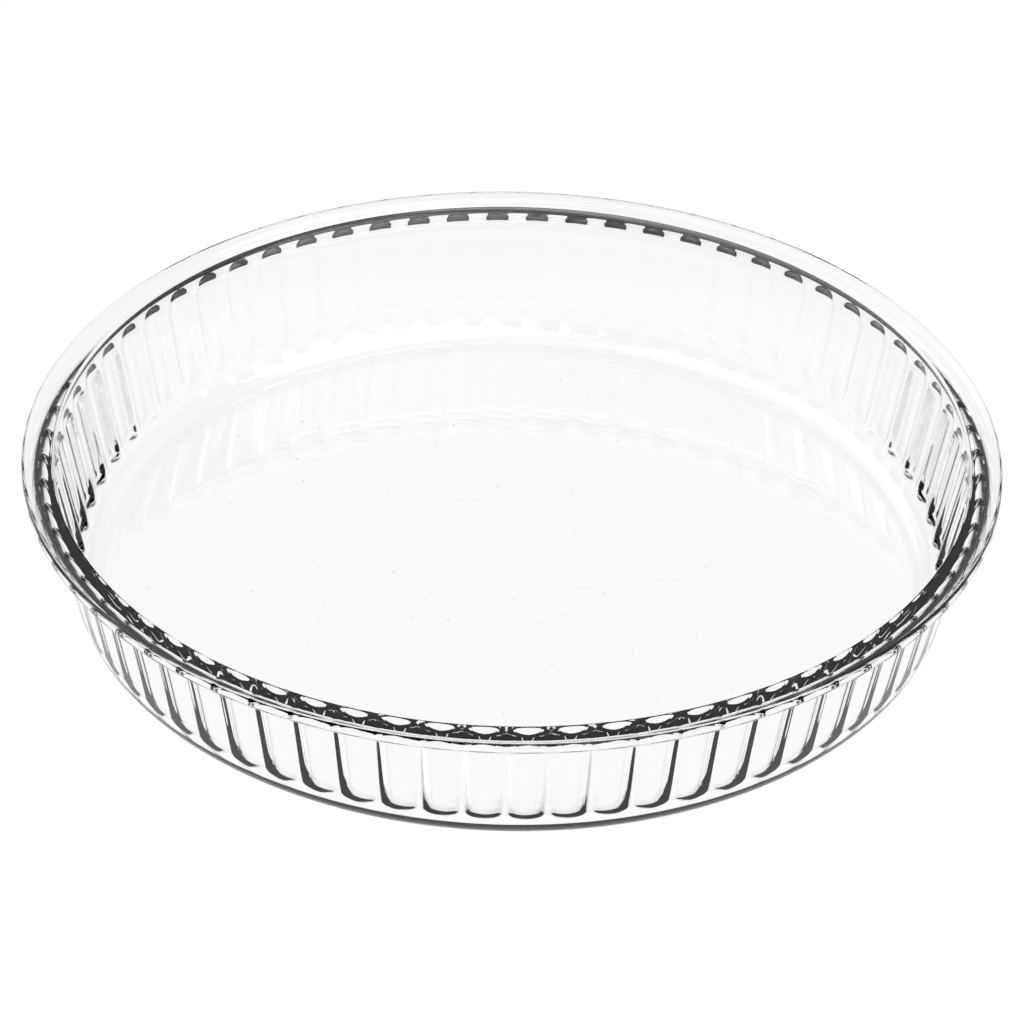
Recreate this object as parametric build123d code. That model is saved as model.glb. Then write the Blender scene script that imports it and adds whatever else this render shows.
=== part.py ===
from build123d import *

import os
from math import cos, pi, radians, sin, sqrt, tan

# A round pressed glass pie dish, in millimetres, standing on its base at the origin with +Z up.
# The outside is plain. The inside wall is pressed into upright flutes that start on the rounded
# corner above the floor and end in an arch just under the rim. Ridges lie on the X and Y axes.

# Overall sizes
rim_diameter = 320.0
dish_height = 50.0

# Rim: a flat ring around the mouth, thinner at its rounded outer edge than at the wall
rim_width = 10.2
rim_edge_thickness = 3.4
rim_root_thickness = 4.2
rim_upper_radius = 1.5
rim_lower_radius = 0.6
rim_root_radius = 9.0
mouth_edge_radius = 1.0

# Wall and floor: the wall is measured level, at the root of the rim and at the base
inner_draft_angle = 12.0
wall_at_rim = 3.5
wall_at_base = 3.95
floor_thickness = 3.2
inner_corner_radius = 11.0
outer_corner_radius = 10.0

# Flutes: shallow channels side by side, with a narrow ridge between neighbours
flute_count = 68
flute_depth = 1.7
ridge_land = 0.5
plain_band = 3.0
flute_overrun = 3.0
toe_rise = 2.2
toe_length = 11.0
arch_length = 7.0

# Cross-sections of a flute lie at these shares of the way from its full depth to either end. The
# cutter leaves the glass at a share of one.
end_shares = (0, 0.4, 0.8, 1.15)

# Worked out from the sizes above
rim_radius = rim_diameter / 2
mouth_radius = rim_radius - rim_width
draft = radians(inner_draft_angle)
tangent_length = inner_corner_radius * tan((pi / 2 - draft) / 2)
top_rise = (dish_height - plain_band - floor_thickness) / cos(draft)


def inner_radius(height):
    """Radius of the plain inner wall at a height above the base."""
    return mouth_radius - (dish_height - height) * tan(draft)


def round_corner(face, corner, radius):
    """Round the corner of a flat outline that lies nearest to a point."""
    vertex = face.vertices().sort_by_distance(corner)[0]
    return fillet(vertex, radius)


def make_section():
    """Half of the dish's cross-section, from the axis out to the rim, before the flutes."""
    root_height = dish_height - rim_root_thickness
    foot = (inner_radius(0) + wall_at_base, 0)
    rim_root = (inner_radius(root_height) + wall_at_rim, root_height)
    edge_low = (rim_radius, dish_height - rim_edge_thickness)
    edge_high = (rim_radius, dish_height)
    mouth = (mouth_radius, dish_height)
    floor_corner = (inner_radius(floor_thickness), floor_thickness)
    outside = Polyline((0, 0), foot, rim_root, edge_low, edge_high, mouth)
    inside = Polyline(mouth, floor_corner, (0, floor_thickness), (0, 0))
    face = make_face(outside + inside)
    face = round_corner(face, foot, outer_corner_radius)
    face = round_corner(face, rim_root, rim_root_radius)
    face = round_corner(face, edge_low, rim_lower_radius)
    face = round_corner(face, edge_high, rim_upper_radius)
    face = round_corner(face, mouth, mouth_edge_radius)
    return round_corner(face, floor_corner, inner_corner_radius)


def make_body():
    """The plain turned dish without its flutes."""
    return revolve(Plane.XZ * make_section(), Axis.Z)


def wall_plane(rise):
    """Plane square to the inner wall, a distance up the slope from the floor's corner.

    Its X runs across the flute and its Y out into the glass.
    """
    radius = inner_radius(floor_thickness) + rise * sin(draft)
    height = floor_thickness + rise * cos(draft)
    return Plane((radius, 0, height), x_dir=(0, -1, 0), z_dir=(sin(draft), 0, cos(draft)))


def skin_offset(rise):
    """How far the rounded inner corner stands in from the straight line of the wall."""
    below = max(0, tangent_length - rise)
    return sqrt(inner_corner_radius ** 2 - below ** 2) - inner_corner_radius


def flute_width(rise):
    """Room for one flute between two ridges, a distance up the slope."""
    radius = inner_radius(floor_thickness) + rise * sin(draft) + skin_offset(rise)
    return 2 * radius * tan(pi / flute_count) - ridge_land


def flute_section(rise, end_share):
    """Closed outline of a flute's cutter across the wall, with an arc on the glass side.

    The arc is the same all the way and lifts out of the glass toward either end of the flute, so
    that the flute's outline on the wall ends in an arch.
    """
    half = flute_width(rise) / 2
    skin = skin_offset(rise)
    edge = skin - flute_depth * end_share ** 2
    back = skin - flute_overrun
    arc = ThreePointArc((-half, edge), (0, edge + flute_depth), (half, edge))
    sides = Polyline((half, edge), (half, back), (-half, back), (-half, edge))
    return wall_plane(rise) * make_face(arc + sides)


def make_flute():
    """Cutter for one flute, from its toe on the rounded corner to its arch under the rim.

    It runs straight from one section to the next, so that its depth holds in between.
    """
    full_low = toe_rise + toe_length
    full_high = top_rise - arch_length
    toe = [flute_section(full_low - toe_length * share, share) for share in reversed(end_shares)]
    arch = [flute_section(full_high + arch_length * share, share) for share in end_shares]
    return loft(toe + arch, ruled=True)


def make_dish():
    """The whole dish, with every flute cut into its inner wall."""
    flute = make_flute()
    pitch = 360 / flute_count
    first = Rot(0, 0, pitch / 2) * flute
    flutes = [Rot(0, 0, pitch * index) * first for index in range(flute_count)]
    return make_body() - flutes


os.makedirs("parts", exist_ok=True)
export_step(make_dish(), "parts/dish.step")
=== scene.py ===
"""A clear pressed-glass pie dish on a white floor, dressed in the frame of its CAD model.

All lengths are in metres. The dish is one piece of glass. Its half-section is turned about the
upright axis by a Geometry Nodes tree, one wedge for each flute, and the tree presses the flutes
into the inner wall.
"""

from __future__ import annotations

import logging
import math
from dataclasses import dataclass, field
from enum import Enum

import bpy
from mathutils import Matrix, Vector

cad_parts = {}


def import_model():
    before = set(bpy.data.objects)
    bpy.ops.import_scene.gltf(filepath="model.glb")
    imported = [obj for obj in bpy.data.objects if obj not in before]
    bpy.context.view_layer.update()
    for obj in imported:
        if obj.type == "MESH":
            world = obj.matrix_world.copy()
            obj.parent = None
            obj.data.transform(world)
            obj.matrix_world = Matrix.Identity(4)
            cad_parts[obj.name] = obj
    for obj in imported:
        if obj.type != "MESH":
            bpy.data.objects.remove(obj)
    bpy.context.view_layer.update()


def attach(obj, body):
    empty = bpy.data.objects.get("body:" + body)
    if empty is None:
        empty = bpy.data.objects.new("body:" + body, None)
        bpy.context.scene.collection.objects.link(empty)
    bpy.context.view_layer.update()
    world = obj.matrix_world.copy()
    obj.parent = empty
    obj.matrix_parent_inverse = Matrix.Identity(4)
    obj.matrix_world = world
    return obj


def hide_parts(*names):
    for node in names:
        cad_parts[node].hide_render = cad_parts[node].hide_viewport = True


LOG = logging.getLogger("pie_dish")
MM = 0.001
CUBIC_CM = 1e-6
NOISE_DETAIL = 1.0
MIX_FACTOR, MIX_A, MIX_B, MIX_COLOUR = 0, 6, 7, 2
OFF_WALL = -1.0


class Ray(Enum):
    """Kinds of ray that a stage material tells apart, by the Light Path's output names."""

    CAMERA = "Is Camera Ray"
    GLOSSY = "Is Glossy Ray"
    TRANSMISSION = "Is Transmission Ray"


class Stretch(Enum):
    """Kinds of stretch between two corners of the section, by how they are divided."""

    PLAIN = "plain"
    FLUTED = "fluted"


@dataclass
class NodeWriter:
    """Adds and links nodes in one tree with short calls."""

    tree: bpy.types.NodeTree

    def node(self, kind: str, **settings: object) -> bpy.types.Node:
        """Add a node.

        Args:
            kind: The node's type name.
            settings: Properties to set on the node.

        Returns:
            The new node.
        """
        made = self.tree.nodes.new(kind)
        for name, value in settings.items():
            setattr(made, name, value)
        return made

    def feed(self, socket: bpy.types.NodeSocket, value: object) -> None:
        """Link a socket to an input, or set it there as a constant.

        Args:
            socket: The input to feed.
            value: An output socket or a plain value.
        """
        if isinstance(value, bpy.types.NodeSocket):
            self.tree.links.new(value, socket)
        else:
            socket.default_value = value

    def math(self, operation: str, *values: object) -> bpy.types.NodeSocket:
        """Add a Math node.

        Args:
            operation: The node's operation, such as MULTIPLY.
            values: Sockets or numbers for its inputs, in order.

        Returns:
            Its output.
        """
        made = self.node("ShaderNodeMath", operation=operation)
        for socket, value in zip(made.inputs, values):
            self.feed(socket, value)
        return made.outputs[0]

    def split(self, vector: bpy.types.NodeSocket) -> tuple[bpy.types.NodeSocket, ...]:
        """Return the X, Y and Z outputs of a vector."""
        made = self.node("ShaderNodeSeparateXYZ")
        self.feed(made.inputs[0], vector)
        return tuple(made.outputs)

    def join(self, x: object, y: object, z: object) -> bpy.types.NodeSocket:
        """Return a vector made of three values."""
        made = self.node("ShaderNodeCombineXYZ")
        for socket, value in zip(made.inputs, (x, y, z)):
            self.feed(socket, value)
        return made.outputs[0]

    def fade(
        self, value: bpy.types.NodeSocket, places: tuple[float, float], levels: tuple[float, float]
    ) -> bpy.types.NodeSocket:
        """Map a value evenly from one pair of places to a pair of levels, and hold it past them.

        Args:
            value: The value to map.
            places: Where the two levels are reached.
            levels: The two levels.

        Returns:
            The mapped value.
        """
        made = self.node("ShaderNodeMapRange")
        for socket, given in zip(made.inputs, (value, *places, *levels)):
            self.feed(socket, given)
        return made.outputs[0]

    def any_ray(self, *rays: Ray) -> bpy.types.NodeSocket:
        """Return 1 for rays of the named kinds and 0 for others."""
        path = self.node("ShaderNodeLightPath")
        total = path.outputs[rays[0].value]
        for ray in rays[1:]:
            total = self.math("MAXIMUM", total, path.outputs[ray.value])
        return total


@dataclass(frozen=True)
class ClearGlass:
    """Fire-polished pressed glass with faint use marks on its floor.

    Attributes:
        name: The material's name.
        colour: Tint of light that passes a surface.
        mark_colour: Tint where a scratch or a speck lies.
        ior: Index of refraction of oven glass.
        ripple: Height of the waviness that the press leaves.
        ripple_scale: Waves of it per metre.
        mark_strength: How far a scratch darkens the glass.
        mark_roughness: Roughness of a scratch.
        scratch_kinds: Direction in degrees from the X axis and cells per metre along a scratch.
        scratch_rows: Cells per metre across a scratch.
        scratch_reach: Half of a scratch's length and width, as a share of its cell.
        scratch_share: Share of the cells that hold a scratch.
        scratch_wander: How far a scratch strays from a straight line.
        speck_cells: Cells per metre for specks.
        speck_reach: A speck's radius, as a share of its cell.
        speck_share: Share of the cells that hold a speck.
        speck_weight: How much darker a speck is than a scratch.
        floor_levels: Heights between which marks may lie.
        floor_reach: Radius within which marks may lie.
    """

    name: str = "clear_pressed_glass"
    colour: tuple[float, float, float] = (0.998, 0.998, 0.998)
    mark_colour: tuple[float, float, float] = (0.2, 0.2, 0.2)
    ior: float = 1.47
    ripple: float = 0.00006
    ripple_scale: float = 45.0
    mark_strength: float = 0.07
    mark_roughness: float = 0.12
    scratch_kinds: tuple[tuple[float, float], ...] = (
        (66.0, 11.0),
        (82.0, 7.0),
        (97.0, 5.5),
        (111.0, 14.0),
        (10.0, 5.0),
        (-7.0, 12.0),
    )
    scratch_rows: float = 1100.0
    scratch_reach: float = 0.22
    scratch_share: float = 0.015
    scratch_wander: float = 5.0 * MM
    speck_cells: float = 70.0
    speck_reach: float = 0.024
    speck_share: float = 0.15
    speck_weight: float = 4.0
    floor_levels: tuple[float, float] = (1.0 * MM, 4.2 * MM)
    floor_reach: float = 0.128

    def material(self) -> bpy.types.Material:
        """Build the glass.

        Returns:
            The new material.
        """
        made = bpy.data.materials.new(self.name)
        made.use_nodes = True
        pen = NodeWriter(made.node_tree)
        shader = made.node_tree.nodes["Principled BSDF"]
        shader.inputs["Transmission Weight"].default_value = 1.0
        shader.inputs["Metallic"].default_value = 0.0
        shader.inputs["IOR"].default_value = self.ior
        place = pen.node("ShaderNodeTexCoord").outputs["Object"]
        marks = self.use_marks(pen, place)
        tint = pen.node("ShaderNodeMix", data_type="RGBA")
        pen.feed(tint.inputs[MIX_FACTOR], pen.math("MULTIPLY", marks, self.mark_strength))
        tint.inputs[MIX_A].default_value = (*self.colour, 1.0)
        tint.inputs[MIX_B].default_value = (*self.mark_colour, 1.0)
        pen.feed(shader.inputs["Base Color"], tint.outputs[MIX_COLOUR])
        pen.feed(shader.inputs["Roughness"], pen.math("MULTIPLY", marks, self.mark_roughness))
        pen.feed(shader.inputs["Normal"], self.ripple_normal(pen, place))
        return made

    def use_marks(self, pen: NodeWriter, place: bpy.types.NodeSocket) -> bpy.types.NodeSocket:
        """Draw thin slanting scratches and small specks on the upper face of the floor.

        Args:
            pen: Writer of the material's tree.
            place: Object coordinates.

        Returns:
            A mask, 1 on a scratch and more on a speck.
        """
        speck = pen.node("ShaderNodeTexVoronoi", voronoi_dimensions="2D")
        pen.feed(speck.inputs["Vector"], place)
        speck.inputs["Scale"].default_value = self.speck_cells
        spot = pen.math("LESS_THAN", speck.outputs["Distance"], self.speck_reach)
        _, _, chance = pen.split(speck.outputs["Color"])
        spot = pen.math("MULTIPLY", spot, pen.math("LESS_THAN", chance, self.speck_share))
        marks = pen.math("MULTIPLY", spot, self.speck_weight)
        for angle, cells in self.scratch_kinds:
            marks = pen.math("MAXIMUM", marks, self.scratches(pen, place, angle, cells))
        x, y, z = pen.split(place)
        reach = pen.math("SQRT", pen.math("MULTIPLY_ADD", x, x, pen.math("MULTIPLY", y, y)))
        bottom, top = self.floor_levels
        on_floor = pen.math("LESS_THAN", z, top)
        on_floor = pen.math("MULTIPLY", on_floor, pen.math("GREATER_THAN", z, bottom))
        on_floor = pen.math("MULTIPLY", on_floor, pen.math("LESS_THAN", reach, self.floor_reach))
        return pen.math("MULTIPLY", marks, on_floor)

    def scratches(
        self, pen: NodeWriter, place: bpy.types.NodeSocket, angle: float, cells: float
    ) -> bpy.types.NodeSocket:
        """Draw scattered long thin scratches that run one way.

        Args:
            pen: Writer of the material's tree.
            place: Object coordinates.
            angle: Their direction, in degrees from the X axis.
            cells: Cells per metre along them.

        Returns:
            A mask, 1 on a scratch.
        """
        turn = pen.node("ShaderNodeVectorRotate", rotation_type="Z_AXIS")
        pen.feed(turn.inputs["Vector"], place)
        turn.inputs["Angle"].default_value = math.radians(-angle)
        along, across, _ = pen.split(turn.outputs[0])
        drift = pen.node("ShaderNodeTexNoise", noise_dimensions="2D")
        pen.feed(drift.inputs["Vector"], turn.outputs[0])
        drift.inputs["Scale"].default_value = cells
        drift.inputs["Detail"].default_value = NOISE_DETAIL
        across = pen.math("MULTIPLY_ADD", drift.outputs[0], self.scratch_wander, across)
        along = pen.math("MULTIPLY_ADD", along, cells, angle)
        across = pen.math("MULTIPLY_ADD", across, self.scratch_rows, angle)
        cell = pen.node("ShaderNodeTexVoronoi", voronoi_dimensions="2D")
        pen.feed(cell.inputs["Vector"], pen.join(along, across, 0.0))
        cell.inputs["Scale"].default_value = 1.0
        line = pen.math("LESS_THAN", cell.outputs["Distance"], self.scratch_reach)
        _, _, chance = pen.split(cell.outputs["Color"])
        return pen.math("MULTIPLY", line, pen.math("LESS_THAN", chance, self.scratch_share))

    def ripple_normal(self, pen: NodeWriter, place: bpy.types.NodeSocket) -> bpy.types.NodeSocket:
        """Return a normal with the faint waviness of pressed glass."""
        wave = pen.node("ShaderNodeTexNoise")
        pen.feed(wave.inputs["Vector"], place)
        wave.inputs["Scale"].default_value = self.ripple_scale
        wave.inputs["Detail"].default_value = NOISE_DETAIL
        bump = pen.node("ShaderNodeBump")
        bump.inputs["Distance"].default_value = self.ripple
        pen.feed(bump.inputs["Height"], wave.outputs[0])
        return bump.outputs[0]


@dataclass(frozen=True)
class WhiteFloorPaint:
    """White floor that shows as plain white to the eye and keeps a shadow; in glass it shows a
    painted falloff of light, full white near the dish and dimmer toward its edge.

    Attributes:
        name: The material's name.
        glow: White that it shows by itself to the eye, just short of full white.
        paint: Share of the studio's light that the eye sees it scatter, which holds the shadow.
        glass_glow: Painted falloff of light that it shows in glass: full white near the dish,
            dimmer at its own edge.
        glass_reach: Distances from the middle at which those whites hold.
    """

    name: str = "white_floor"
    glow: float = 0.965
    paint: float = 0.085
    glass_glow: tuple[float, float] = (1.0, 0.86)
    glass_reach: tuple[float, float] = (0.17, 0.4)

    def material(self) -> bpy.types.Material:
        """Build the floor's paint.

        Returns:
            The new material.
        """
        made = bpy.data.materials.new(self.name)
        made.use_nodes = True
        tree = made.node_tree
        tree.nodes.clear()
        pen = NodeWriter(tree)
        eye = pen.any_ray(Ray.CAMERA)
        reach = pen.node("ShaderNodeVectorMath", operation="LENGTH")
        pen.feed(reach.inputs[0], pen.node("ShaderNodeTexCoord").outputs["Object"])
        # Painted falloff of light seen in glass: the floor glows full white near the dish and
        # dimmer toward its edge.
        white = pen.fade(reach.outputs["Value"], self.glass_reach, self.glass_glow)
        in_glass = pen.math("MULTIPLY", pen.any_ray(Ray.GLOSSY, Ray.TRANSMISSION), white)
        glow = pen.node("ShaderNodeEmission")
        pen.feed(glow.inputs["Strength"], pen.math("MULTIPLY_ADD", eye, self.glow, in_glass))
        paint = pen.node("ShaderNodeBsdfDiffuse")
        pen.feed(paint.inputs["Color"], pen.math("MULTIPLY", eye, self.paint))
        both = pen.node("ShaderNodeAddShader")
        pen.feed(both.inputs[0], glow.outputs[0])
        pen.feed(both.inputs[1], paint.outputs[0])
        pen.feed(pen.node("ShaderNodeOutputMaterial").inputs["Surface"], both.outputs[0])
        return made


@dataclass
class Corner:
    """One corner of the dish's half-section.

    Attributes:
        radius: Distance from the axis.
        height: Height above the base.
        rounding: Radius that rounds the corner, or zero.
        step: Angle between neighbouring points of the rounding, in degrees.
        after: Kind of stretch that follows the corner.
        pieces: Number of parts that the stretch is divided into.
    """

    radius: float
    height: float
    rounding: float = 0.0
    step: float = 10.0
    after: Stretch = Stretch.PLAIN
    pieces: int = 1

    @property
    def point(self) -> Vector:
        """The corner's place in the section."""
        return Vector((self.radius, self.height))


@dataclass
class FluteTree:
    """Geometry Nodes tree that turns a half-section into a fluted dish.

    Attributes:
        name: The tree's name.
        merge: Distance under which neighbouring wedges' points are joined.
        sockets: Identifiers of the tree's inputs, by their names.
    """

    name: str = "fluted dish"
    merge: float = 0.002 * MM
    sockets: dict[str, str] = field(default_factory=dict)

    def build(self) -> bpy.types.NodeTree:
        """Build the tree.

        Returns:
            The node group.
        """
        tree = bpy.data.node_groups.new(self.name, "GeometryNodeTree")
        pen = NodeWriter(tree)
        self.declare(tree)
        given = {s.name: s for s in pen.node("NodeGroupInput").outputs}
        section = given["Section"]
        count = pen.node("GeometryNodeAttributeDomainSize")
        pen.feed(count.inputs[0], section)
        rows = count.outputs["Point Count"]
        grid = pen.node("GeometryNodeMeshGrid")
        for label, value in (("Size X", 1.0), ("Size Y", 1.0)):
            grid.inputs[label].default_value = value
        pen.feed(grid.inputs["Vertices X"], pen.math("ADD", given["Strips"], 1.0))
        pen.feed(grid.inputs["Vertices Y"], rows)
        x, y, _ = pen.split(pen.node("GeometryNodeInputPosition").outputs[0])
        share = pen.math("ADD", x, 0.5)
        last = pen.math("SUBTRACT", rows, 1.0)
        row = pen.math("ROUND", pen.math("MULTIPLY", pen.math("ADD", y, 0.5), last))
        spot = pen.node("GeometryNodeInputPosition").outputs[0]
        place = self.sample(pen, section, row, spot, "FLOAT_VECTOR")
        rise_field = pen.node("GeometryNodeInputNamedAttribute", data_type="FLOAT")
        rise_field.inputs["Name"].default_value = "rise"
        rise = self.sample(pen, section, row, rise_field.outputs[0], "FLOAT")
        radius, _, height = pen.split(place)
        share = self.crowd(pen, share, given["Crowding"])
        sink = self.sink(pen, given, radius, rise, share)
        radius = pen.math("MULTIPLY_ADD", sink, pen.math("COSINE", given["Draft"]), radius)
        drop = pen.math("MULTIPLY", sink, pen.math("SINE", given["Draft"]))
        height = pen.math("SUBTRACT", height, drop)
        pitch = pen.math("DIVIDE", math.tau, given["Flutes"])
        angle = pen.math("MULTIPLY", pen.math("SUBTRACT", 0.5, share), pitch)
        shaped = pen.node("GeometryNodeSetPosition")
        pen.feed(shaped.inputs["Geometry"], grid.outputs["Mesh"])
        level_x = pen.math("MULTIPLY", radius, pen.math("COSINE", angle))
        level_y = pen.math("MULTIPLY", radius, pen.math("SINE", angle))
        pen.feed(shaped.inputs["Position"], pen.join(level_x, level_y, height))
        self.close(pen, given, shaped.outputs[0], pitch)
        return tree

    def declare(self, tree: bpy.types.NodeTree) -> None:
        """Make the tree's named inputs and its output, and keep the inputs' identifiers."""
        sides = tree.interface
        kinds = (
            ("Section", "NodeSocketGeometry"),
            ("Flutes", "NodeSocketInt"),
            ("Strips", "NodeSocketInt"),
            ("Crowding", "NodeSocketFloat"),
            ("Draft", "NodeSocketFloat"),
            ("Flute Depth", "NodeSocketFloat"),
            ("Crest Radius", "NodeSocketFloat"),
            ("Toe Rise", "NodeSocketFloat"),
            ("Toe Length", "NodeSocketFloat"),
            ("Top Rise", "NodeSocketFloat"),
            ("Arch Length", "NodeSocketFloat"),
            ("Edge Softness", "NodeSocketFloat"),
            ("Glass", "NodeSocketMaterial"),
        )
        for label, kind in kinds:
            made = sides.new_socket(name=label, in_out="INPUT", socket_type=kind)
            self.sockets[label] = made.identifier
        sides.new_socket(name="Dish", in_out="OUTPUT", socket_type="NodeSocketGeometry")

    def sample(
        self,
        pen: NodeWriter,
        section: bpy.types.NodeSocket,
        row: bpy.types.NodeSocket,
        value: bpy.types.NodeSocket,
        kind: str,
    ) -> bpy.types.NodeSocket:
        """Read a value at a numbered point of the section.

        Args:
            pen: Writer of the tree.
            section: The section's geometry.
            row: Number of the point.
            value: The field to read.
            kind: Its data type.

        Returns:
            The value at that point.
        """
        made = pen.node("GeometryNodeSampleIndex", data_type=kind, domain="POINT")
        pen.feed(made.inputs["Geometry"], section)
        pen.feed(made.inputs["Value"], value)
        pen.feed(made.inputs["Index"], row)
        return made.outputs[0]

    def crowd(
        self, pen: NodeWriter, share: bpy.types.NodeSocket, crowding: bpy.types.NodeSocket
    ) -> bpy.types.NodeSocket:
        """Draw the strips of a wedge together toward its two ridges.

        Args:
            pen: Writer of the tree.
            share: Even place across the wedge, 0 to 1.
            crowding: How far the strips are drawn together, 0 to 1.

        Returns:
            The new place across the wedge.
        """
        wave = pen.math("SINE", pen.math("MULTIPLY", share, math.tau))
        pull = pen.math("MULTIPLY", wave, pen.math("DIVIDE", crowding, math.tau))
        return pen.math("SUBTRACT", share, pull)

    def sink(
        self,
        pen: NodeWriter,
        given: dict[str, bpy.types.NodeSocket],
        radius: bpy.types.NodeSocket,
        rise: bpy.types.NodeSocket,
        share: bpy.types.NodeSocket,
    ) -> bpy.types.NodeSocket:
        """Work out how deep a flute is pressed into the wall.

        Across a flute the depth is an arc between two rounded crests. Toward the toe and the arch
        the whole shape lifts out of the glass.

        Args:
            pen: Writer of the tree.
            given: The tree's inputs by name.
            radius: Distance of the plain wall from the axis.
            rise: Distance up the wall's slope, or far below zero off the wall.
            share: Place across the wedge, with a ridge at 0 and at 1.

        Returns:
            The depth.
        """
        depth, crest = given["Flute Depth"], given["Crest Radius"]
        half = pen.math("DIVIDE", pen.math("MULTIPLY", radius, math.pi), given["Flutes"])
        off = pen.math("ABSOLUTE", pen.math("SUBTRACT", pen.math("MULTIPLY", share, 2.0), 1.0))
        off = pen.math("MULTIPLY", off, half)
        to_ridge = pen.math("SUBTRACT", half, off)
        square = pen.math("MULTIPLY", half, half)
        bend = pen.math("DIVIDE", square, pen.math("MULTIPLY", depth, 2.0))
        hollow = pen.math("SUBTRACT", bend, crest)
        crest_half = pen.math("DIVIDE", pen.math("MULTIPLY", crest, half), bend)
        square = pen.math("MULTIPLY", off, off)
        fall = pen.math("DIVIDE", square, pen.math("MULTIPLY", hollow, 2.0))
        arc = pen.math("SUBTRACT", depth, fall)
        square = pen.math("MULTIPLY", to_ridge, to_ridge)
        crown = pen.math("DIVIDE", square, pen.math("MULTIPLY", crest, 2.0))
        on_crest = pen.math("LESS_THAN", to_ridge, crest_half)
        across = pen.math("MULTIPLY_ADD", on_crest, pen.math("SUBTRACT", crown, arc), arc)
        toe_end = pen.math("ADD", given["Toe Rise"], given["Toe Length"])
        toe = pen.math("DIVIDE", pen.math("SUBTRACT", toe_end, rise), given["Toe Length"])
        arch_start = pen.math("SUBTRACT", given["Top Rise"], given["Arch Length"])
        arch = pen.math("DIVIDE", pen.math("SUBTRACT", rise, arch_start), given["Arch Length"])
        toe, arch = (pen.math("POWER", pen.math("MAXIMUM", v, 0.0), 2.0) for v in (toe, arch))
        lift = pen.math("MULTIPLY", depth, pen.math("ADD", toe, arch))
        level = pen.math("SUBTRACT", across, lift)
        soft = pen.math("POWER", given["Edge Softness"], 2.0)
        reach = pen.math("SQRT", pen.math("MULTIPLY_ADD", level, level, soft))
        return pen.math("MULTIPLY", pen.math("ADD", level, reach), 0.5)

    def close(
        self,
        pen: NodeWriter,
        given: dict[str, bpy.types.NodeSocket],
        wedge: bpy.types.NodeSocket,
        pitch: bpy.types.NodeSocket,
    ) -> None:
        """Repeat the wedge round the axis, join the copies and give them the glass.

        Args:
            pen: Writer of the tree.
            given: The tree's inputs by name.
            wedge: Geometry of one wedge.
            pitch: Angle of one wedge.
        """
        spots = pen.node("GeometryNodePoints")
        pen.feed(spots.inputs["Count"], given["Flutes"])
        ring = pen.node("GeometryNodeInstanceOnPoints")
        pen.feed(ring.inputs["Points"], spots.outputs[0])
        pen.feed(ring.inputs["Instance"], wedge)
        order = pen.math("ADD", pen.node("GeometryNodeInputIndex").outputs[0], 0.5)
        pen.feed(ring.inputs["Rotation"], pen.join(0.0, 0.0, pen.math("MULTIPLY", order, pitch)))
        real = pen.node("GeometryNodeRealizeInstances")
        pen.feed(real.inputs[0], ring.outputs[0])
        merged = pen.node("GeometryNodeMergeByDistance")
        pen.feed(merged.inputs["Geometry"], real.outputs[0])
        merged.inputs["Distance"].default_value = self.merge
        smooth = pen.node("GeometryNodeSetShadeSmooth")
        pen.feed(smooth.inputs["Geometry"], merged.outputs[0])
        dressed = pen.node("GeometryNodeSetMaterial")
        pen.feed(dressed.inputs["Geometry"], smooth.outputs[0])
        pen.feed(dressed.inputs["Material"], given["Glass"])
        pen.feed(pen.node("NodeGroupOutput").inputs[0], dressed.outputs[0])


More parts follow.
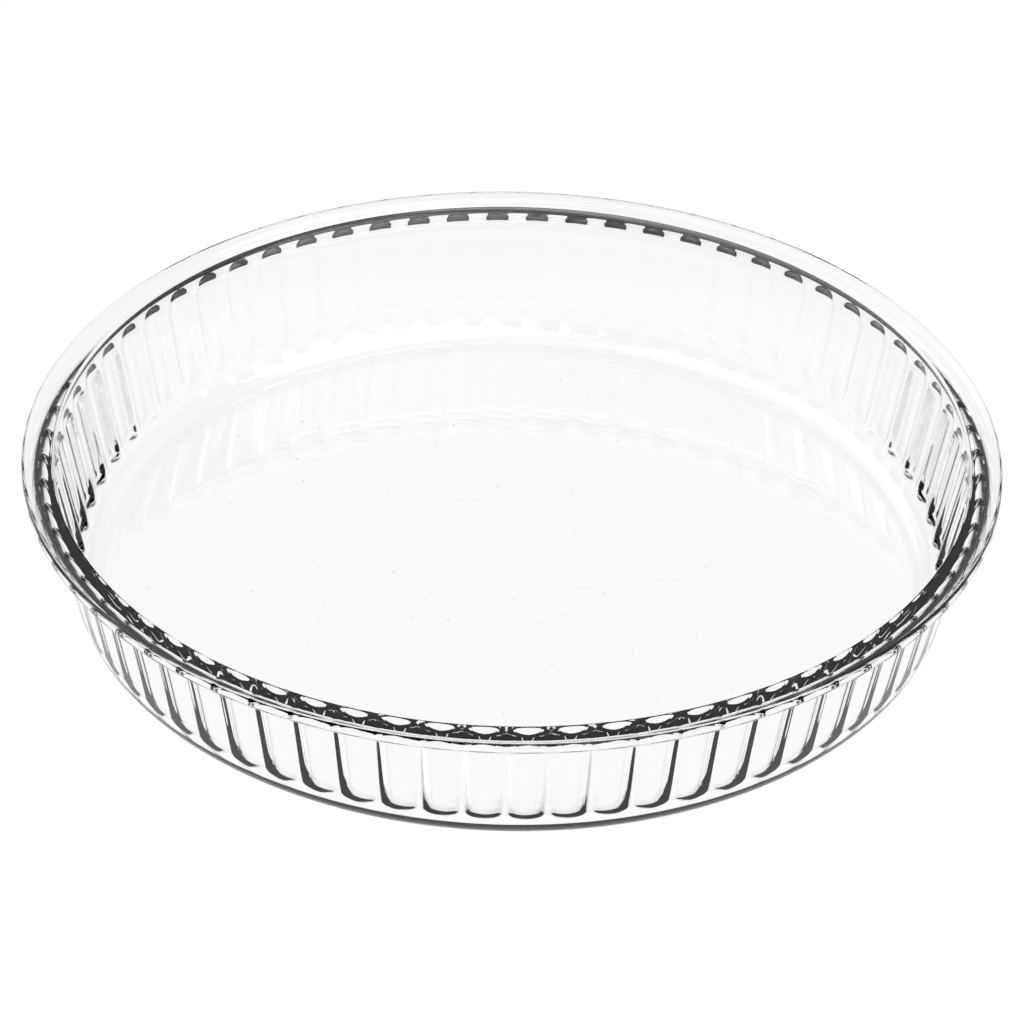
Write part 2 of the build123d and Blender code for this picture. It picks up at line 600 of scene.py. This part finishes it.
@dataclass
class PressedDish:
    """The whole dish, pressed from one gob of glass.

    Attributes:
        rim_radius: Distance from the axis to the rim's edge.
        height: Height of the whole dish.
        rim_width: Width of the flat ring round the mouth.
        edge_thickness: The rim's thickness at its edge.
        root_thickness: The rim's thickness at the wall.
        upper_rounding: Radius of the edge's upper corner.
        lower_rounding: Radius of the edge's lower corner.
        root_rounding: Radius between the rim's underside and the wall.
        mouth_rounding: Radius of the mouth's edge.
        draft: Lean of the inner wall, as an angle.
        wall_at_rim: The wall's level thickness under the rim.
        wall_at_base: The wall's level thickness at the base.
        floor_thickness: The floor's thickness.
        inner_rounding: Radius between the floor and the inner wall.
        outer_rounding: Radius between the base and the outer wall.
        flutes: Number of flutes.
        flute_depth: Depth of a flute at its middle.
        crest_radius: Radius of the crest between two flutes.
        plain_band: Height of the plain wall over the flutes.
        toe_rise: Distance up the wall at which a flute's toe starts.
        toe_length: Length over which the toe gains its depth.
        arch_length: Length over which the arch loses it.
        edge_softness: How softly a flute runs out into the wall.
        strips: Faces across one flute.
        crowding: How far the faces are drawn together toward the crests.
        wall_rows: Faces up the even part of a flute.
        arch_rows: Faces up its arch and the plain wall over it.
        glass: The finish.
    """

    rim_radius: float = 160.0 * MM
    height: float = 50.0 * MM
    rim_width: float = 10.2 * MM
    edge_thickness: float = 3.4 * MM
    root_thickness: float = 4.2 * MM
    upper_rounding: float = 1.5 * MM
    lower_rounding: float = 0.6 * MM
    root_rounding: float = 9.0 * MM
    mouth_rounding: float = 1.0 * MM
    draft: float = math.radians(12.0)
    wall_at_rim: float = 3.5 * MM
    wall_at_base: float = 3.95 * MM
    floor_thickness: float = 3.2 * MM
    inner_rounding: float = 11.0 * MM
    outer_rounding: float = 10.0 * MM
    flutes: int = 68
    flute_depth: float = 1.7 * MM
    crest_radius: float = 1.0 * MM
    plain_band: float = 3.0 * MM
    toe_rise: float = 2.2 * MM
    toe_length: float = 11.0 * MM
    arch_length: float = 7.0 * MM
    edge_softness: float = 0.06 * MM
    strips: int = 12
    crowding: float = 0.5
    wall_rows: int = 7
    arch_rows: int = 24
    glass: ClearGlass = ClearGlass()

    def inner(self, height: float) -> float:
        """Return the radius of the plain inner wall at a height."""
        return self.rim_radius - self.rim_width - (self.height - height) * math.tan(self.draft)

    def corners(self) -> list[Corner]:
        """List the half-section's corners, from the middle of the floor round to the base.

        Returns:
            The corners in order.
        """
        floor, top = self.floor_thickness, self.height
        root = top - self.root_thickness
        under_rim = self.inner(root) + self.wall_at_rim
        foot = self.inner(0.0) + self.wall_at_base
        return [
            Corner(0.0, floor, pieces=4),
            Corner(self.inner(floor), floor, self.inner_rounding, step=4.5, after=Stretch.FLUTED),
            Corner(self.inner(top), top, self.mouth_rounding, step=12.0, pieces=2),
            Corner(self.rim_radius, top, self.upper_rounding, step=9.0),
            Corner(self.rim_radius, top - self.edge_thickness, self.lower_rounding, step=15.0),
            Corner(under_rim, root, self.root_rounding, step=5.0, pieces=3),
            Corner(foot, 0.0, self.outer_rounding, step=6.0, pieces=4),
            Corner(0.0, 0.0),
        ]

    def rounded(self, before: Corner, corner: Corner, after: Corner) -> list[Vector]:
        """Round one corner of the section.

        Args:
            before: The corner before it.
            corner: The corner to round.
            after: The corner after it.

        Returns:
            Points along the rounding, or the corner itself if it is sharp.
        """
        if not corner.rounding:
            return [corner.point]
        back = (before.point - corner.point).normalized()
        ahead = (after.point - corner.point).normalized()
        half = math.acos(max(-1.0, min(1.0, back.dot(ahead)))) / 2
        middle = corner.point + (back + ahead).normalized() * (corner.rounding / math.sin(half))
        start = corner.point + back * (corner.rounding / math.tan(half)) - middle
        end = corner.point + ahead * (corner.rounding / math.tan(half)) - middle
        whole = math.atan2(start.x * end.y - start.y * end.x, start.dot(end))
        count = max(3, math.ceil(abs(math.degrees(whole)) / corner.step))
        turns = [Matrix.Rotation(whole * step / count, 2) for step in range(count + 1)]
        return [middle + turn @ start for turn in turns]

    def stretch_shares(self, corner: Corner, low: float, high: float) -> list[float]:
        """Divide the straight stretch after a corner.

        Args:
            corner: The corner that the stretch follows.
            low: Distance up the wall at its start.
            high: Distance up the wall at its end.

        Returns:
            Shares of the stretch at which points lie, without its ends.
        """
        if corner.after is Stretch.PLAIN:
            return [step / corner.pieces for step in range(1, corner.pieces)]
        start = self.top_rise() - self.arch_length
        rows = self.wall_rows
        places = [low + (start - low) * step / rows for step in range(1, rows)]
        places += [start + (high - start) * step / self.arch_rows for step in range(self.arch_rows)]
        return [(place - low) / (high - low) for place in places]

    def top_rise(self) -> float:
        """Return how far up the wall's slope the flutes reach."""
        return (self.height - self.plain_band - self.floor_thickness) / math.cos(self.draft)

    def section(self) -> list[tuple[Vector, float]]:
        """Work out the half-section.

        Returns:
            Its points, each with its distance up the wall's slope, or a value off the wall.
        """
        corners = self.corners()
        foot = corners[1].point
        slope = Vector((math.sin(self.draft), math.cos(self.draft)))
        rounds = [[corners[0].point]]
        for before, corner, after in zip(corners, corners[1:], corners[2:]):
            rounds.append(self.rounded(before, corner, after))
        rounds.append([corners[-1].point])
        points: list[tuple[Vector, float]] = []
        for corner, bend, ahead in zip(corners, rounds, rounds[1:] + [[corners[-1].point]]):
            fluted = corner.after is Stretch.FLUTED
            line = list(bend)
            if ahead[0] != bend[-1]:
                low, high = ((end - foot).dot(slope) for end in (bend[-1], ahead[0]))
                line += [bend[-1].lerp(ahead[0], s) for s in self.stretch_shares(corner, low, high)]
            points += [(p, (p - foot).dot(slope) if fluted else OFF_WALL) for p in line]
        return points

    def section_object(self) -> bpy.types.Object:
        """Make the half-section as a line of points that carry their rise.

        Returns:
            An object that holds the line.
        """
        points = self.section()
        mesh = bpy.data.meshes.new("dish_section")
        edges = [(index, index + 1) for index in range(len(points) - 1)]
        mesh.from_pydata([(p.x, 0.0, p.y) for p, _ in points], edges, [])
        rise = mesh.attributes.new("rise", "FLOAT", "POINT")
        rise.data.foreach_set("value", [value for _, value in points])
        made = bpy.data.objects.new("glass_dish", mesh)
        bpy.context.scene.collection.objects.link(made)
        return made

    def build(self) -> bpy.types.Object:
        """Build the dish and hand it to the frame.

        Returns:
            The finished piece.
        """
        piece = self.section_object()
        glass = self.glass.material()
        rule = FluteTree()
        tree = rule.build()
        press = piece.modifiers.new("press", "NODES")
        press.node_group = tree
        values = {
            "Flutes": self.flutes,
            "Strips": self.strips,
            "Crowding": self.crowding,
            "Draft": self.draft,
            "Flute Depth": self.flute_depth,
            "Crest Radius": self.crest_radius,
            "Toe Rise": self.toe_rise,
            "Toe Length": self.toe_length,
            "Top Rise": self.top_rise(),
            "Arch Length": self.arch_length,
            "Edge Softness": self.edge_softness,
            "Glass": glass,
        }
        for label, value in values.items():
            press[rule.sockets[label]] = value
        shaped = piece.evaluated_get(bpy.context.evaluated_depsgraph_get())
        mesh = bpy.data.meshes.new_from_object(shaped)
        piece.modifiers.remove(press)
        piece.data = mesh
        mesh.name = "glass_dish"
        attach(piece, "root")
        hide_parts("dish")
        volume = self.volume(mesh) / CUBIC_CM
        LOG.info("dish: %d faces, volume %.1f cm3", len(mesh.polygons), volume)
        return piece

    def volume(self, mesh: bpy.types.Mesh) -> float:
        """Return the closed mesh's volume, above zero where its faces point outwards."""
        total = 0.0
        for face in mesh.polygons:
            total += face.center.dot(face.normal) * face.area / 3.0
        return total


@dataclass(frozen=True)
class SoftLamp:
    """Square soft lamp that points at the dish.

    Attributes:
        name: The lamp's name.
        place: Where it hangs.
        side: Length of its side.
        power: Its power in watts.
    """

    name: str
    place: tuple[float, float, float]
    side: float
    power: float

    def build(self) -> None:
        """Hang the lamp."""
        light = bpy.data.lights.new(self.name, "AREA")
        light.size = self.side
        light.energy = self.power
        made = bpy.data.objects.new(self.name, light)
        made.location = self.place
        made.rotation_euler = (-Vector(self.place)).to_track_quat("-Z", "Y").to_euler()
        bpy.context.scene.collection.objects.link(made)
        LOG.info("lamp %s: %.0f W", self.name, self.power)


@dataclass
class Studio:
    """White floor, pale ceiling, dark walls, a pale sweep behind and two soft lamps.

    Attributes:
        floor_radius: Reach of the white floor, past which the room is dark to the glass.
        floor_sides: Number of the floor's corners.
        sink: How far the floor lies under the dish's base.
        room: Pairs of elevation in degrees and brightness that glass sees in the room.
        sweep_glow: Brightness of the pale sweep behind the dish.
        sweep_elevation: Height of its middle above the horizon, in degrees.
        sweep_height: Heights from its middle, as the sine of an angle, where it is full and gone.
        sweep_width: Shares of the way back at which it is gone and full.
        paint: The floor's finish.
        lamps: The lamps over the dish.
    """

    floor_radius: float = 0.40
    floor_sides: int = 128
    sink: float = 0.2 * MM
    room: tuple[tuple[float, float], ...] = (
        (-18.0, 1.0),
        (-15.0, 0.03),
        (55.0, 0.035),
        (75.0, 0.5),
    )
    sweep_glow: float = 0.6
    sweep_elevation: float = 35.5
    sweep_height: tuple[float, float] = (0.05, 0.12)
    sweep_width: tuple[float, float] = (0.3, 0.6)
    paint: WhiteFloorPaint = WhiteFloorPaint()
    lamps: tuple[SoftLamp, ...] = (
        SoftLamp("key", place=(0.9, -0.7, 2.2), side=2.4, power=34.0),
        SoftLamp("fill", place=(-1.2, 0.9, 2.0), side=2.4, power=20.0),
    )

    def build(self) -> None:
        """Build the floor, the room and the lamps."""
        self.floor()
        self.world()
        for lamp in self.lamps:
            lamp.build()

    def floor(self) -> bpy.types.Object:
        """Make the round white floor.

        Returns:
            The floor.
        """
        reach = self.floor_radius
        turns = [math.tau * side / self.floor_sides for side in range(self.floor_sides)]
        ring = [(reach * math.cos(turn), reach * math.sin(turn), -self.sink) for turn in turns]
        mesh = bpy.data.meshes.new("floor")
        mesh.from_pydata(ring, [], [tuple(range(self.floor_sides))])
        mesh.materials.append(self.paint.material())
        made = bpy.data.objects.new("floor", mesh)
        bpy.context.scene.collection.objects.link(made)
        LOG.info("floor: %.2f m across", 2 * self.floor_radius)
        return made

    def world(self) -> None:
        """Make the room: white behind the dish, and seen by glass as floor, walls and ceiling."""
        world = bpy.data.worlds.new("studio")
        bpy.context.scene.world = world
        world.use_nodes = True
        tree = world.node_tree
        tree.nodes.clear()
        pen = NodeWriter(tree)
        way = pen.node("ShaderNodeTexCoord").outputs["Generated"]
        _, _, up = pen.split(way)
        ramp = pen.node("ShaderNodeValToRGB")
        pen.feed(ramp.inputs[0], pen.math("MULTIPLY_ADD", up, 0.5, 0.5))
        stops = ramp.color_ramp.elements
        while len(stops) < len(self.room):
            stops.new(1.0)
        for stop, (elevation, value) in zip(stops, self.room):
            stop.position = 0.5 + math.sin(math.radians(elevation)) / 2
            stop.color = (value, value, value, 1.0)
        room = pen.node("ShaderNodeBackground")
        pen.feed(room.inputs["Color"], pen.math("MAXIMUM", ramp.outputs[0], self.sweep(pen, way)))
        backdrop = pen.node("ShaderNodeBackground")
        backdrop.inputs["Color"].default_value = (1.0, 1.0, 1.0, 1.0)
        choice = pen.node("ShaderNodeMixShader")
        pen.feed(choice.inputs[0], pen.any_ray(Ray.CAMERA))
        pen.feed(choice.inputs[1], room.outputs[0])
        pen.feed(choice.inputs[2], backdrop.outputs[0])
        pen.feed(pen.node("ShaderNodeOutputWorld").inputs["Surface"], choice.outputs[0])

    def sweep(self, pen: NodeWriter, way: bpy.types.NodeSocket) -> bpy.types.NodeSocket:
        """Draw the pale sweep behind the dish, which its level faces mirror to the eye.

        Args:
            pen: Writer of the world's tree.
            way: Direction that a ray leaves in.

        Returns:
            The sweep's brightness, 0 away from it.
        """
        _, back, up = pen.split(way)
        middle = math.sin(math.radians(self.sweep_elevation))
        off = pen.math("ABSOLUTE", pen.math("SUBTRACT", up, middle))
        level = pen.fade(off, self.sweep_height, (self.sweep_glow, 0.0))
        return pen.math("MULTIPLY", level, pen.fade(back, self.sweep_width, (0.0, 1.0)))


@dataclass
class PhotoCamera:
    """Camera at the photograph's viewing angle.

    Attributes:
        focal_pixels: Focal length in pixels of the square picture.
        picture_pixels: The picture's width.
        sensor: Width of the sensor, in millimetres.
        reach: Distance past which nothing is drawn.
        distance: Distance from the middle of the base.
        elevation: Height above the horizon, in degrees.
        pan: Turn from the middle of the base, in degrees, as are tilt and roll.
    """

    focal_pixels: float = 6029.8
    picture_pixels: float = 1024.0
    sensor: float = 36.0
    reach: float = 100.0
    distance: float = 1.9983
    elevation: float = 35.547
    pan: float = -0.009
    tilt: float = 0.588
    roll: float = -1.209

    def build(self) -> bpy.types.Object:
        """Make the camera and give it to the scene.

        Returns:
            The camera.
        """
        rise = math.radians(self.elevation)
        place = Vector((0.0, -math.cos(rise), math.sin(rise))) * self.distance
        ahead = -place.normalized()
        right = Vector((1.0, 0.0, 0.0))
        frame = Matrix((right, right.cross(ahead), ahead))
        for axis, angle in (("Y", self.pan), ("X", self.tilt), ("Z", self.roll)):
            frame = Matrix.Rotation(math.radians(angle), 3, axis) @ frame
        turned = Matrix((frame[0], frame[1], -frame[2])).transposed().to_4x4()
        turned.translation = place
        lens = bpy.data.cameras.new("camera")
        lens.sensor_fit = "HORIZONTAL"
        lens.sensor_width = self.sensor
        lens.lens = self.focal_pixels / self.picture_pixels * self.sensor
        lens.clip_end = self.reach
        made = bpy.data.objects.new("camera", lens)
        made.matrix_world = turned
        bpy.context.scene.collection.objects.link(made)
        bpy.context.scene.camera = made
        LOG.info("camera: %.0f mm lens", lens.lens)
        return made


def main() -> None:
    """Load the CAD model, build the dish, the studio and the camera."""
    logging.basicConfig(level=logging.INFO, format="%(name)s: %(message)s")
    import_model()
    bpy.context.scene.view_settings.view_transform = "Standard"
    PressedDish().build()
    Studio().build()
    PhotoCamera().build()


if __name__ == "__main__":
    main()
